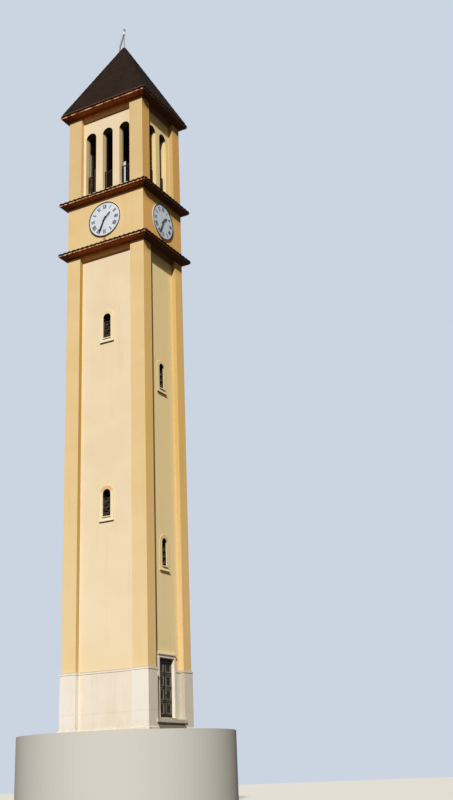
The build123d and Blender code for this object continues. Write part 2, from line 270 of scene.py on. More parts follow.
# Materials
class Paint:
    """One procedural material. Patterns are laid out in metres over the object."""

    def __init__(self, name, roughness, specular, metallic=0.0):
        self.name = name
        self.material = bpy.data.materials.new(name)
        self.material.use_nodes = True
        self.tree = self.material.node_tree
        self.shader = self.tree.nodes["Principled BSDF"]
        finish = {"Roughness": roughness, "Specular IOR Level": specular, "Metallic": metallic}
        for socket, value in finish.items():
            self.shader.inputs[socket].default_value = value
        self.place = self.add("ShaderNodeTexCoord").outputs["Object"]
        self.axes = self.add("ShaderNodeSeparateXYZ", Vector=self.place).outputs
        self.height = self.axes["Z"]
        self.geometry = self.add("ShaderNodeNewGeometry").outputs
        # how far the surface faces along each axis, from -1 to 1
        self.facing = self.add("ShaderNodeSeparateXYZ", Vector=self.geometry["True Normal"]).outputs
        self.tone = None
        self.normal = None

    def add(self, kind, **inputs):
        node = self.tree.nodes.new(kind)
        for name, value in inputs.items():
            self.put(node.inputs[name], value)
        return node

    def put(self, socket, value):
        if isinstance(value, bpy.types.NodeSocket):
            self.tree.links.new(value, socket)
        else:
            socket.default_value = value

    def start(self, light, deep, amount):
        """The first two tones: light where the amount is 0, deep where it is 1."""
        self.tone = light
        self.lay(deep, amount)

    def lay(self, colour, *amounts):
        """Lays a colour over what is there, by the product of the amounts."""
        self.tone = self.mix(self.times(*amounts), self.tone, colour)
        self.put(self.shader.inputs["Base Color"], self.tone)

    def bump(self, height, distance, strength):
        """Adds relief. Distance is its depth in metres."""
        node = self.add("ShaderNodeBump", Height=height, Distance=distance, Strength=strength)
        if self.normal:
            self.put(node.inputs["Normal"], self.normal)
        self.normal = node.outputs["Normal"]
        self.put(self.shader.inputs["Normal"], self.normal)

    def noise(self, size, detail, stretch=1, shift=0.0):
        """Noise of a size in metres, stretched upwards."""
        scale = (1 / size, 1 / size, 1 / (size * stretch))
        mapping = self.add("ShaderNodeMapping", Vector=self.place, Scale=scale, Location=(shift,) * 3)
        node = self.add("ShaderNodeTexNoise", Vector=mapping.outputs["Vector"], Scale=1.0,
                        Detail=detail, Roughness=0.55)
        return node.outputs[0]

    def band(self, value, low, high, weight=1.0):
        """Turns a value into 0 at low and into weight at high."""
        node = self.add("ShaderNodeMapRange", Value=value)
        for name, number in (("From Min", low), ("From Max", high), ("To Min", 0.0), ("To Max", weight)):
            node.inputs[name].default_value = number
        return node.outputs["Result"]

    def rising(self, low, high, weight=1.0):
        """0 at one height and weight at the other, which may be lower."""
        return self.band(self.height, low, high, weight)

    def patches(self, size, low, high, weight=1.0, detail=5, stretch=1, shift=0.0):
        """Noisy patches: 0 where the noise is at low and weight where it is at high."""
        return self.band(self.noise(size, detail, stretch, shift), low, high, weight)

    def maths(self, operation, first, second=0.5):
        node = self.add("ShaderNodeMath")
        node.operation = operation
        self.put(node.inputs[0], first)
        self.put(node.inputs[1], second)
        return node.outputs[0]

    def times(self, *values):
        product = values[0]
        for value in values[1:]:
            product = self.maths("MULTIPLY", product, value)
        return product

    def above(self, value, limit):
        return self.maths("GREATER_THAN", value, limit)

    def below(self, value, limit):
        return self.maths("LESS_THAN", value, limit)

    def mix(self, amount, first, second):
        """Mixes two colours, each a screen colour or what another node gives."""
        node = self.add("ShaderNodeMix")
        node.data_type = "RGBA"
        self.put(node.inputs[0], amount)
        for number, colour in ((6, first), (7, second)):
            self.put(node.inputs[number], rgb(*colour) if isinstance(colour, tuple) else colour)
        return node.outputs[2]

    def facing_either(self, axis, low=0.4, high=0.9, weight=1.0):
        """Weight on surfaces that face along an axis, one way or the other."""
        return self.band(self.maths("ABSOLUTE", self.facing[axis]), low, high, weight)

    def underneath(self):
        """How far the surface faces down, from 0 to 1."""
        return self.band(self.facing["Z"], -0.03, -0.3)

    def off_middle(self, axis):
        """How far a point is from the tower's middle along an axis."""
        return self.maths("ABSOLUTE", self.axes[axis])

    def reach(self, axis):
        """How far a point stands out from the faces across one axis."""
        return self.maths("SUBTRACT", self.off_middle(axis), half_of[axis])

    def widest_reach(self):
        """How far a point stands out from the tower's faces, in metres."""
        return self.maths("MAXIMUM", self.reach("X"), self.reach("Y"))

    def sideways(self, nearest=side_faces_start):
        """1 on the outer faces of the two narrow sides, from a distance off the middle."""
        return self.times(self.facing_either("X"), self.above(self.off_middle("X"), nearest))

    def turned_in(self, axis):
        """1 on jambs and returns that face along an axis, across the wall that they belong to."""
        within = self.below(self.off_middle(axis), half_of[axis] - panel_recess - face_margin)
        return self.times(self.facing_either(axis), within)

    def inside(self):
        """1 inside the tower and deep in its small windows, where painted shade goes."""
        in_shaft = self.below(self.height, shaft_limit)
        within = []
        for axis, lit_depth in (("X", side_reveal_depth), ("Y", front_reveal_depth)):
            into_wall = self.times(in_shaft, belfry_wall_thickness - lit_depth)
            limit = self.maths("ADD", into_wall, half_of[axis] - panel_recess - belfry_wall_thickness)
            within.append(self.below(self.off_middle(axis), limit))
        return self.times(*within)

    def inward_jamb_shade(self):
        """How far painted shade darkens a jamb of the belfry inwards. It starts further out on the hidden
        sides.
        """
        parts = []
        for axis, across, hidden in (("X", "Y", -1), ("Y", "X", 1)):
            depth = self.maths("SUBTRACT", -panel_recess, self.reach(axis))
            is_hidden = self.above(self.times(self.axes[axis], hidden), 0.0)
            deeper = self.maths("ADD", depth, self.times(is_hidden, hidden_inward_shade_shift))
            inward_painted_shade = self.band(deeper, *inward_shade_depths, 0.95)
            parts.append(self.times(self.turned_in(across), inward_painted_shade))
        return self.times(self.maths("MAXIMUM", *parts), self.above(self.height, belfry_sill))

    def painted_shade_under_cornices(self):
        """Where painted shade goes: 1 right under each cornice, fading out downwards."""
        total = 0.0
        for top in cornice_tops.values():
            foot = top - cornice_height
            fading = self.rising(foot - cornice_shade_depth, foot)
            total = self.maths("ADD", total, self.times(fading, self.below(self.height, foot + 0.02)))
        return total

    def under_splays(self):
        """The strip of the front and back recess walls that stays in shade under the splays, which takes
        a warm painted shade.
        """
        total = 0.0
        for name in ("lower_cornice", "eaves_cornice"):
            foot = cornice_tops[name] - cornice_height
            strip = self.rising(foot - splay_shade_depth, foot - splay_shade_depth + 0.015)
            total = self.maths("ADD", total, self.times(strip, self.below(self.height, foot)))
        set_back = self.below(self.reach("Y"), -panel_recess / 2)
        return self.times(total, self.facing_either("Y", 0.6, 0.9, 0.75), set_back)

    def shaded_corner(self, weight):
        """The corner of the entrance wall that its near pier keeps in shade, darkened there with painted
        shade.
        """
        near = self.band(self.axes["Y"], *corner_shade_edge, weight)
        towards_entrance = self.band(self.facing["X"], 0.6, 0.9)
        wall_face = half_front - panel_recess
        on_wall = self.above(self.axes["X"], wall_face - face_margin)
        set_back = self.below(self.axes["X"], wall_face + plinth_proud + 0.02)
        return self.times(near, towards_entrance, on_wall, set_back)


def plaster(name, light, deep, side_painted_light, high_side_painted_light, jambs, streak, high_dirt=0.0):
    """Painted lime plaster: clouding, rain streaks, a yellower foot, grain and trowel marks, with painted
    light and shade on its sides, jambs, corners and undersides and inside it.
    """
    # the jambs' tones are painted light and shade: for the sides' returns, the front's returns, and the
    # front's returns higher up
    side_jamb_shading, front_jamb_shading, high_jamb_shading = jambs
    paint = Paint(name, roughness=0.9, specular=0.1)
    sideways = paint.sideways()
    paint.start(light, deep, paint.patches(1.7, 0.36, 0.68, 0.75, detail=3))
    # painted light and shade on the jambs and returns, by the way they face
    paint.lay(side_jamb_shading, paint.turned_in("Y"), 0.9)
    front_return_shading = paint.mix(paint.rising(*jamb_shading_change), front_jamb_shading, high_jamb_shading)
    paint.lay(front_return_shading, paint.turned_in("X"), 0.9)
    # painted light on the two narrow sides, lighter and yellower, with another tone above the lower
    # cornice
    paint.lay(side_painted_light, sideways, 0.95)
    paint.lay(high_side_painted_light, paint.rising(*side_light_change), sideways, 0.9)
    paint.lay((60, 40, 20), paint.rising(*belfry_dirt_rise, high_dirt))
    paint.lay((255, 240, 215), paint.rising(*paler_towards_foot, 0.14))
    paint.lay(streak, paint.patches(0.22, 0.58, 0.80, 0.28, stretch=22))
    paint.lay((230, 204, 148), paint.rising(foot_stain_top, plinth_top, 0.35))
    paint.lay(streak, paint.patches(0.035, 0.62, 0.8, 0.22, detail=6))
    # painted shade under the cornices on the two narrow sides
    paint.lay((62, 38, 16), paint.painted_shade_under_cornices(), sideways, 0.6)
    # warm painted shade in the strip under the splays
    paint.lay((196, 128, 74), paint.under_splays())
    # painted shade in the corner by the entrance wall's near pier
    paint.lay((116, 66, 30), paint.shaded_corner(0.38), paint.below(paint.height, shaft_limit))
    # painted shade on the surfaces that face down
    paint.lay((34, 26, 16), paint.underneath(), 0.95)
    # painted shade deepening inwards on the belfry's jambs
    paint.lay((30, 22, 14), paint.inward_jamb_shade())
    # painted shade inside the tower and deep in the small windows
    paint.lay(interior_painted_shade, paint.inside())
    paint.bump(paint.noise(0.5, 3), 0.006, 0.5)
    paint.bump(paint.noise(0.014, 7), 0.0018, 0.6)
    return paint


def cream_plaster(name, light, deep, side_painted_light):
    """The cream of the panels, with the same painted light and shade on all its jambs."""
    return plaster(name, light, deep, side_painted_light, high_side_painted_light=(246, 222, 164),
                   jambs=[(228, 203, 148)] * 3, streak=(206, 184, 144))


def surround_plaster():
    """A lighter cream with darker inner edges, and painted shade on the faces beside each opening."""
    paint = cream_plaster("surround_plaster", (234, 220, 186), (228, 211, 174), (254, 234, 178))
    # the crowns of the lower windows keep more of their ochre
    for side, strengths in (("front", (0.75, 0.25)), ("right", (0.4, 0.2))):
        for sill, strength in zip(window_sills[side], strengths):
            top = sill + window_height
            crown = paint.rising(top - 0.16, top - 0.04)
            paint.lay((212, 166, 92), crown, paint.below(paint.height, top + 0.3), strength)
    on_side = paint.above(paint.reach("X"), -panel_recess + 0.01)
    paint.lay((168, 140, 92), paint.turned_in("Y"), on_side, 0.95)
    # painted shade on the inner faces beside each opening
    beside_opening = paint.below(paint.off_middle("X"), window_width / 2 + 0.004)
    paint.lay((40, 30, 18), beside_opening, paint.facing_either("X", 0.3, 0.7, 0.9))
    return paint


def ochre_plaster():
    """The ochre of the piers, with a run of rust under each dial."""
    paint = plaster(
        "ochre_plaster", (223, 197, 148), (217, 188, 136), side_painted_light=(250, 206, 128),
        high_side_painted_light=(240, 186, 112), jambs=[(194, 164, 104), (182, 144, 60), (232, 194, 136)],
        streak=(196, 158, 102), high_dirt=0.1)
    along_wall = paint.mix(paint.sideways(), paint.axes["X"], paint.axes["Y"])
    wander = paint.patches(0.3, 0, 1, 0.05, detail=2)
    off_centre = paint.maths("ABSOLUTE", paint.maths("ADD", along_wall, wander))
    paint.lay((180, 116, 38), paint.band(off_centre, *rust_half_widths),
              paint.rising(*rust_foot), paint.rising(*rust_top),
              paint.patches(0.05, 0.2, 0.5, 0.9, 4, 5))
    return paint


def recess_plaster():
    """The splays of the recesses, with painted light that makes them lighter towards the panels and
    painted shade on the two narrow sides.
    """
    paint = Paint("recess_plaster", roughness=0.9, specular=0.2)
    paint.start((186, 132, 74), (164, 110, 58), paint.patches(0.4, 0.35, 0.7, detail=4))
    # painted light: the splays grow lighter towards the panels
    paint.lay((234, 186, 130), paint.band(paint.widest_reach(), -0.08, -0.20))
    paint.lay((120, 78, 44), paint.patches(0.05, 0.6, 0.8, 0.4))
    # painted shade on the splays of the two narrow sides
    paint.lay((48, 32, 14), paint.above(paint.off_middle("X"), half_run["front"] + 0.2), 0.9)
    paint.bump(paint.noise(0.014, 6), 0.0015, 0.6)
    return paint


def white_stone():
    """White slabs: veins, drips, a darker top edge, splashes at the foot, and painted light and shade on
    the returns and in one corner.
    """
    paint = Paint("white_stone", roughness=0.6, specular=0.3)
    paint.start((229, 220, 207), (221, 209, 191), paint.patches(0.5, 0.42, 0.7, 0.8, 6, 2.5))
    # painted light and shade on the plinth's returns, by the way they face
    paint.lay((178, 168, 148), paint.turned_in("Y"), 0.9)
    paint.lay((228, 223, 210), paint.turned_in("X"), 0.9)
    # painted shade in the corner by the entrance wall's near pier
    paint.lay((84, 70, 46), paint.shaded_corner(0.45))
    # the front and back faces of the piers are paler than the panels set back between them
    on_piers = paint.above(paint.reach("Y"), -panel_recess / 2)
    paint.lay((236, 234, 229), paint.facing_either("Y", 0.6, 0.9, 0.5), on_piers)
    paint.lay((196, 180, 150), paint.patches(0.12, 0.58, 0.8, 0.30, 4, 14))
    paint.lay((112, 96, 70), paint.rising(plinth_top - 0.05, plinth_top - 0.03, 0.6))
    paint.lay((180, 166, 140), paint.rising(0.5, 0.0, 0.4), paint.patches(0.2, 0.3, 0.7, detail=4))
    paint.put(paint.shader.inputs["Roughness"], paint.patches(0.08, -1.0, 1.2, detail=4))
    paint.bump(paint.noise(0.02, 6), 0.0008, 0.5)
    return paint


def step_stone():
    """Worn stone, darker in the course under the steps."""
    paint = mottled("step_stone", (0.7, 0.35), (206, 198, 180), (176, 166, 146), (0.4, 0.35, 0.7),
                    (0.03, 6, 0.002, 0.6))
    paint.lay((120, 110, 94), paint.rising(0.34, 0.30, 0.8))
    paint.lay((96, 86, 72), paint.patches(0.05, 0.6, 0.75, 0.4))
    return paint


def frame_stone():
    """Pale stone round the door, with drips."""
    paint = mottled("frame_stone", (0.65, 0.35), (240, 233, 218), (228, 217, 196), (0.3, 0.35, 0.7),
                    (0.015, 6, 0.0008, 0.6))
    paint.lay((184, 166, 132), paint.patches(0.08, 0.58, 0.8, 0.5, 4, 12))
    return paint


def cornice_brown():
    """Red-brown render, with painted shade on the inner soffits and the two narrow sides."""
    paint = Paint("cornice_brown", roughness=0.8, specular=0.1)
    reach = paint.widest_reach()
    paint.start((168, 88, 38), (150, 76, 32), paint.patches(0.6, 0.35, 0.7, detail=4))
    # painted shade over the inner part of the soffits
    paint.lay((106, 52, 18), paint.band(reach, 0.20, 0.06))
    paint.lay((140, 78, 34), paint.band(reach, 0.05, 0.01))
    # mortar shows in dashes along the fascia under the tiles
    dashes = paint.mix(paint.patches(0.14, 0.42, 0.56, detail=2), (232, 182, 144), (116, 62, 34))
    paint.lay(dashes, paint.band(reach, fascia_reach - 0.013, fascia_reach - 0.009))
    paint.lay((84, 40, 18), paint.patches(0.1, 0.55, 0.75, 0.4, stretch=3))
    paint.lay((176, 100, 50), paint.patches(0.9, 0.56, 0.72, 0.3, 3, shift=4.0))
    # the two ends of each front soffit are darker
    along = paint.axes["X"]
    ends = paint.maths("MAXIMUM", paint.band(along, -1.2, -2.1, 0.65), paint.band(along, 1.5, 2.2, 0.30))
    paint.lay((44, 26, 12), ends, paint.below(reach, band_reach - 0.005))
    # painted shade on the cornices of the two narrow sides
    is_side = paint.band(paint.maths("SUBTRACT", paint.reach("X"), paint.reach("Y")), -0.02, 0.02, 0.9)
    paint.lay((46, 26, 12), is_side)
    # painted shade where the cornice runs inside the tower
    paint.lay(interior_painted_shade, paint.inside())
    paint.bump(paint.noise(0.02, 6), 0.0015, 0.6)
    return paint


def clay_tile():
    """Dark cornice tiles in varied tones."""
    paint = Paint("clay_tile", roughness=0.9, specular=0.05)
    paint.start((44, 16, 6), (28, 11, 5), paint.geometry["Random Per Island"])
    paint.lay((46, 28, 20), paint.patches(0.04, 0.56, 0.75, 0.5))
    paint.bump(paint.noise(0.01, 5), 0.001, 0.7)
    return paint


def roof_tile():
    """Dark roof tiles in varied tones, with lichen, a paler line at the eaves, and painted shade on the
    two narrow sides.
    """
    paint = Paint("roof_tile", roughness=0.9, specular=0.05)
    paint.start((43, 32, 27), (38, 28, 24), paint.geometry["Random Per Island"])
    paint.lay((54, 38, 30), paint.patches(0.9, 0.45, 0.7, 0.5, 4))
    paint.lay((34, 26, 24), paint.patches(0.05, 0.58, 0.75, 0.4))
    paint.lay((60, 54, 40), paint.patches(0.3, 0.64, 0.78, 0.3, 4, shift=7.0))
    # painted shade on the slopes of the two narrow sides
    paint.lay((34, 23, 15), paint.sideways(nearest=-1.0), 0.7)
    paint.lay((112, 76, 64), paint.rising(roof_foot + 0.085, roof_foot + 0.07, 0.75))
    paint.bump(paint.noise(0.012, 6), 0.0012, 0.7)
    return paint


def door_wood():
    """Dark varnish, with paler pulls and shade under the frame's head."""
    paint = Paint("door_wood", roughness=0.6, specular=0.12)
    grain = paint.noise(0.012, 6, 30)
    paint.start((42, 33, 24), (26, 20, 14), paint.band(grain, 0.35, 0.7))
    paint.lay((56, 45, 34), paint.patches(0.3, 0.5, 0.75, 0.4, 3))
    paint.lay((124, 115, 98), paint.band(paint.axes["X"], door_face + 0.002, door_face + 0.004))
    paint.lay((12, 9, 7), paint.rising(*leaf_top_shade, 0.7))
    paint.bump(grain, 0.0008, 0.6)
    return paint


def door_moulding():
    """The paler mouldings round the door's panels, with painted shadow under the frame's head."""
    paint = mottled("door_moulding", (0.6, 0.2), (132, 123, 112), (96, 88, 78),
                    (0.02, 0.4, 0.7, 1.0, 5, 12), (0.01, 5, 0.0006, 0.5))
    # painted shadow of the frame's head
    paint.lay((20, 16, 12), paint.rising(*leaf_top_shade, 0.8))
    return paint


def dial_enamel():
    """White enamel with faint runs, lighter and bluer on the two narrow sides as painted light."""
    paint = mottled("dial_enamel", (0.3, 0.5), (212, 220, 232), (200, 208, 221),
                    (0.5, 0.35, 0.7, 1.0, 4), (0.4, 2, 0.002, 0.3))
    paint.lay((176, 160, 130), paint.patches(0.1, 0.6, 0.8, 0.3, stretch=6))
    # painted light on the dials of the two narrow sides
    paint.lay((208, 222, 235), paint.sideways())
    return paint


def mottled(name, finish, light, deep, patches, relief=None):
    """Patches of a second tone over the first, and a fine relief."""
    paint = Paint(name, *finish)
    paint.start(light, deep, paint.patches(*patches))
    if relief:
        size, detail, depth, strength = relief
        paint.bump(paint.noise(size, detail), depth, strength)
    return paint


def make_materials():
    """Every material, by its name."""
    paints = [
        cream_plaster("cream_plaster", (228, 212, 183), (222, 203, 171), (254, 232, 173)),
        ochre_plaster(), surround_plaster(), recess_plaster(), white_stone(), step_stone(), frame_stone(),
        cornice_brown(), clay_tile(), roof_tile(), door_wood(), door_moulding(), dial_enamel(),
        mottled("iron", (0.65, 0.2, 0.1), (34, 28, 26), (70, 38, 22), (0.06, 0.5, 0.7, 0.6),
                (0.006, 5, 0.0004, 0.6)),
        # paler than the railing iron: partly rust, partly painted light for the sun on the scrolls
        mottled("grille_iron_rust_and_light", (0.7, 0.2), (118, 102, 94), (58, 44, 38), (0.05, 0.4, 0.65),
                (0.006, 5, 0.0004, 0.6)),
        mottled("hand_black", (0.55, 0.2), (15, 15, 18), (40, 37, 37), (0.04, 0.5, 0.75, 0.5),
                (0.01, 4, 0.0004, 0.5)),
        mottled("post_metal", (0.5, 0.4, 0.2), (132, 138, 148), (96, 84, 74), (0.06, 0.45, 0.7, 0.7),
                (0.01, 4, 0.0004, 0.4)),
        mottled("vane_metal", (0.4, 0.5, 0.15), (222, 228, 236), (168, 174, 184), (0.1, 0.5, 0.75, 0.5),
                (0.02, 4, 0.0005, 0.4)),
        mottled("mortar", (0.95, 0.05), (62, 38, 26), (42, 25, 18), (0.03, 0.4, 0.7),
                (0.008, 5, 0.002, 0.7)),
        mottled("tile_end", (0.9, 0.03), (26, 8, 2), (16, 6, 3), (0.05, 0.4, 0.65),
                (0.01, 5, 0.001, 0.6)),
        mottled("numeral_grey", (0.5, 0.4), (38, 39, 48), (68, 68, 78), (0.03, 0.4, 0.7, 1.0, 4)),
    ]
    return {paint.name: paint.material for paint in paints}


# Mesh building
def prism_faces(count):
    """The faces of a prism between two outlines of this many points."""
    faces = [tuple(reversed(range(count))), tuple(range(count, 2 * count))]
    for index in range(count):
        after = (index + 1) % count
        faces.append((index, after, count + after, count + index))
    return faces


def closed_grid(rows, columns):
    """Faces between rows of points, where the last row and column meet the first."""
    faces = []
    for row in range(rows):
        here, there = row * columns, (row + 1) % rows * columns
        for column in range(columns):
            beside = (column + 1) % columns
            faces.append((here + column, here + beside, there + beside, there + column))
    return faces


class Pieces:
    """Collects many small solids into one mesh."""

    def __init__(self):
        self.points = []
        self.faces = []

    def add(self, points, faces, placed=Matrix()):
        start = len(self.points)
        self.points.extend(placed @ Vector(point) for point in points)
        self.faces.extend(tuple(start + index for index in face) for face in faces)

    def prism(self, outline, low, high, placed):
        """An outline in x and y, carried along z."""
        points = [(x, y, low) for x, y in outline] + [(x, y, high) for x, y in outline]
        self.add(points, prism_faces(len(outline)), placed)

    def bar(self, x_range, y_range, z_range, placed):
        (left, right), (low, high) = x_range, y_range
        self.prism([(left, low), (right, low), (right, high), (left, high)], *z_range, placed)

    def tube(self, path, radius, placed, count=6):
        """A round bar along a path in the x-y plane, at the path's own z."""
        points = []
        for index, spot in enumerate(path):
            before = Vector(path[max(index - 1, 0)])
            after = Vector(path[min(index + 1, len(path) - 1)])
            along = (after - before).normalized()
            side = Vector((-along.y, along.x, 0))
            for step in range(count):
                angle = 2 * math.pi * step / count
                outward = side * math.cos(angle) + Vector((0, 0, math.sin(angle)))
                points.append(Vector(spot) + radius * outward)
        faces = [tuple(range(count)), tuple(reversed(range(len(points) - count, len(points))))]
        for index in range(len(path) - 1):
            for step in range(count):
                near = index * count + step
                beside = index * count + (step + 1) % count
                faces.append((near, near + count, beside + count, beside))
        self.add(points, faces, placed)

    def ring(self, section, steps, placed):
        """A section in radius and z, turned about the z axis."""
        points = []
        for step in range(steps):
            angle = 2 * math.pi * step / steps
            points += [(radius * math.cos(angle), radius * math.sin(angle), z) for radius, z in section]
        self.add(points, closed_grid(steps, len(section)), placed)

    def finish(self, name, material, slot=None, body="tower", smooth=False):
        """Makes the piece. The slot argument is not used."""
        mesh = bpy.data.meshes.new(name)
        mesh.from_pydata(self.points, [], self.faces)
        mesh.materials.append(materials[material])
        mesh.validate()
        for polygon in mesh.polygons:
            polygon.use_smooth = smooth
        piece = linked(name, mesh)
        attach(piece, body)
        return piece


def arc(radius, first, last, steps, centre=(0.0, 0.0)):
    """Points on an arc, with its angles in degrees."""
    points = []
    for step in range(steps + 1):
        angle = math.radians(first + (last - first) * step / steps)
        points.append((centre[0] + radius * math.cos(angle), centre[1] + radius * math.sin(angle)))
    return points


# Cornices
def cornice_moulding(name):
    """The cornice's profile swept round the tower, with a bed that slopes under its tiles."""
    top = cornice_tops[name]
    foot = top - cornice_height
    tile_foot = top - tile_band_height
    band_top = tile_foot - fascia_height
    deck_edge = cornice_reach - tile_set_back
    inner = -panel_recess - wall_thickness
    profile = [
        (inner, foot), (0.0, foot), (bed_reach, foot + bed_height),
        (soffit_reach, band_top - band_height), (band_reach, band_top), (fascia_reach, band_top),
        (fascia_reach, tile_foot), (deck_edge, tile_foot), (deck_edge, top - tile_slope * deck_edge),
        (0.0, top), (inner, top),
    ]
    moulding = Pieces()
    points = []
    for grow, z in profile:
        x, y = half_front + grow, half_side + grow
        points += [(-x, -y, z), (x, -y, z), (x, y, z), (-x, y, z)]
    moulding.add(points, closed_grid(len(profile), 4))
    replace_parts(moulding.finish(f"{name}_moulding", "cornice_brown"), name)


def recess_splays(name):
    """Wedges that close the top of each recess under a cornice with a splay."""
    foot = cornice_tops[name] - cornice_height
    section = [(-recess_edge, foot), (-panel_recess, foot), (-panel_recess, foot - recess_drop)]
    splays = Pieces()
    for side in sides:
        run = half_run[side]
        points = [(u, height, depth) for u in (-run, run) for depth, height in section]
        splays.add(points, prism_faces(3), wall(side, face_of[side]))
    splays.finish(f"{name}_recess_splays", "recess_plaster", "cornice_brown")


def sloped(section, inner, outer, pieces, axes):
    """A tile's section carried out along the slope of the cornice's bed."""
    points = []
    for reach in (inner, outer):
        points += [(x, y - tile_slope * reach, reach) for x, y in section]
    pieces.add(points, prism_faces(len(section)), axes)


def half_oval(centre, half_width, height):
    """A low arch in x and y over its centre, from right to left."""
    return [(centre + half_width * x, height * y) for x, y in arc(1.0, 0, 180, cover_steps)]


def cover_section(centre):
    inner = half_oval(centre, cover_half_width - cover_thickness, cover_height - cover_thickness)
    return half_oval(centre, cover_half_width, cover_height) + list(reversed(inner))


def filling_section(centre):
    """The mortar that fills a cover tile and just cuts into it."""
    half_width = cover_half_width - cover_thickness + mortar_overlap
    return half_oval(centre, half_width, cover_height - cover_thickness + mortar_overlap)


def pan_section(centre):
    shares = [step / pan_steps for step in range(pan_steps + 1)]
    upper = [(centre + pan_half_width * (2 * share - 1), pan_edge - pan_dish * math.sin(math.pi * share))
             for share in shares]
    return [(x, y - pan_thickness) for x, y in upper] + list(reversed(upper))


def cornice_tiles():
    """Barrel tiles over dished ones on every cornice, with darker ends and mortar fillings."""
    tiles = Pieces()
    ends = Pieces()
    fillings = Pieces()
    reach = cornice_reach - clearance
    end = reach - tile_end_depth
    for top in cornice_tops.values():
        for side in sides:
            half = half_length[side]
            count = round(2 * (half + cornice_reach) / tile_pitch)
            pitch = 2 * (half + cornice_reach) / count
            crown = top + tile_slope * reach - clearance
            axes = wall(side, face_of[side], crown - cover_height)
            for number in range(2 * count - 1):
                centre = (number + 1 - count) * pitch / 2
                is_cover = number % 2 == 0
                # tiles past the wall's end start at the mitre
                inner = max(0.0, abs(centre) - half)
                if inner < end - shortest_tile:
                    section = cover_section(centre) if is_cover else pan_section(centre)
                    sloped(section, inner, end, tiles, axes)
                    sloped(section, end, reach, ends, axes)
                    if is_cover:
                        sloped(filling_section(centre), inner, reach - mortar_set_back, fillings, axes)
    tiles.finish("cornice_tiles", "clay_tile", "cornice_brown")
    ends.finish("cornice_tile_ends", "tile_end", "cornice_brown")
    fillings.finish("cornice_tile_mortar", "mortar", "cornice_brown")


# Roof covering
def shingle_outline(left, right, low, high, half_low, half_high):
    """The four corners of a shingle, cut off where it would pass a hip."""
    corners = [(max(left, -half_low), low), (min(right, half_low), low),
               (min(right, half_high), high), (max(left, -half_high), high)]
    if corners[2][0] < corners[3][0]:
        middle = (corners[2][0] + corners[3][0]) / 2
        corners[2] = (middle + shingle_tip / 2, high)
        corners[3] = (middle - shingle_tip / 2, high)
    return corners


def roof_shingles():
    """Small flat tiles in courses on the four slopes, each lipped over the one below."""
    tiles = Pieces()
    for side in sides:
        half = half_length[side] + roof_reach
        depth = face_of[side] + roof_reach
        slope = math.hypot(depth, roof_rise)
        up = Vector((0, depth / slope, roof_rise / slope))
        out = Vector((0, -roof_rise / slope, depth / slope))
        axes = Matrix(((1, 0, 0, 0), (0, up.y, out.y, -depth), (0, up.z, out.z, roof_foot), (0, 0, 0, 1)))
        placed = turned_to(side) @ axes
        usable = slope * (1 - bare_apex / roof_rise)
        courses = int(usable / shingle_exposure)
        exposure = (usable - first_course) / courses
        for course in range(courses):
            low = first_course + course * exposure
            high = low + exposure
            half_low = half * (1 - low / slope)
            half_high = half * (1 - high / slope)
            shift = (course % 2) * shingle_width / 2
            first = -math.ceil((half_low + shift) / shingle_width)
            for number in range(first, math.ceil((half_low - shift) / shingle_width)):
                left = number * shingle_width + shift + shingle_joint / 2
                right = left + shingle_width - shingle_joint
                if min(right, half_low) - max(left, -half_low) < narrowest_shingle:
                    continue
                corners = shingle_outline(left, right, low, high, half_low, half_high)
                base = [(x, y, -clearance) for x, y in corners]
                lip = [(x, y, shingle_lip if y == low else shingle_head) for x, y in corners]
                tiles.add(base + lip, prism_faces(4), placed)
    tiles.finish("roof_shingles", "roof_tile")


def hip_tile(length):
    """The points and faces of a half-round tile that narrows upwards."""
    low = arc(hip_radius + hip_taper, -25, 205, 8)
    high = arc(hip_radius - hip_taper, -25, 205, 8)
    points = [(x, y, 0.0) for x, y in low] + [(x, y, length) for x, y in high]
    return points, prism_faces(len(low))


def hip_tiles():
    """Half-round tiles that overlap up the four hips."""
    tiles = Pieces()
    top = Vector((0, 0, roof_foot + roof_rise))
    for x, y in ((-1, -1), (-1, 1), (1, -1), (1, 1)):
        foot = Vector((x * (half_front + roof_reach), y * (half_side + roof_reach), roof_foot))
        along = (top - foot).normalized()
        outward = (Vector((0, 0, 1)) - along * along.z).normalized()
        axes = Matrix((along.cross(outward), outward, along)).transposed().to_4x4()
        length = (top - foot).length - hip_foot_gap - hip_top_gap
        count = round(length / (hip_length - hip_overlap))
        step = length / count
        for number in range(count):
            axes.translation = foot + along * (hip_foot_gap + number * step) - outward * hip_sink
            tiles.add(*hip_tile(step if number == count - 1 else hip_length), axes)
    tiles.finish("hip_tiles", "roof_tile")


# Clock
def numeral_bars(text):
    """Bars of a Roman numeral, as outlines about the middle of the figure."""
    half = numeral_height / 2
    left = -sum(letter_widths[letter] for letter in text) / 2
    outlines = []
    for letter in text:
        width = letter_widths[letter]
        middle = left + width / 2
        lean = width * letter_lean
        strokes = {"I": [(0.0, 0.0, thick_stroke)],
                   "V": [(0.0, -lean, thick_stroke), (0.0, lean, thin_stroke)],
                   "X": [(lean, -lean, thick_stroke), (-lean, lean, thin_stroke)]}
        for foot, head, thickness in strokes[letter]:
            edge = thickness / 2
            outlines.append([(middle + foot - edge, -half), (middle + foot + edge, -half),
                             (middle + head + edge, half), (middle + head - edge, half)])
        for low in (-half, half - serif_height):
            high = low + serif_height
            outlines.append([(left, low), (left + width, low), (left + width, high), (left, high)])
        left += width
    return outlines


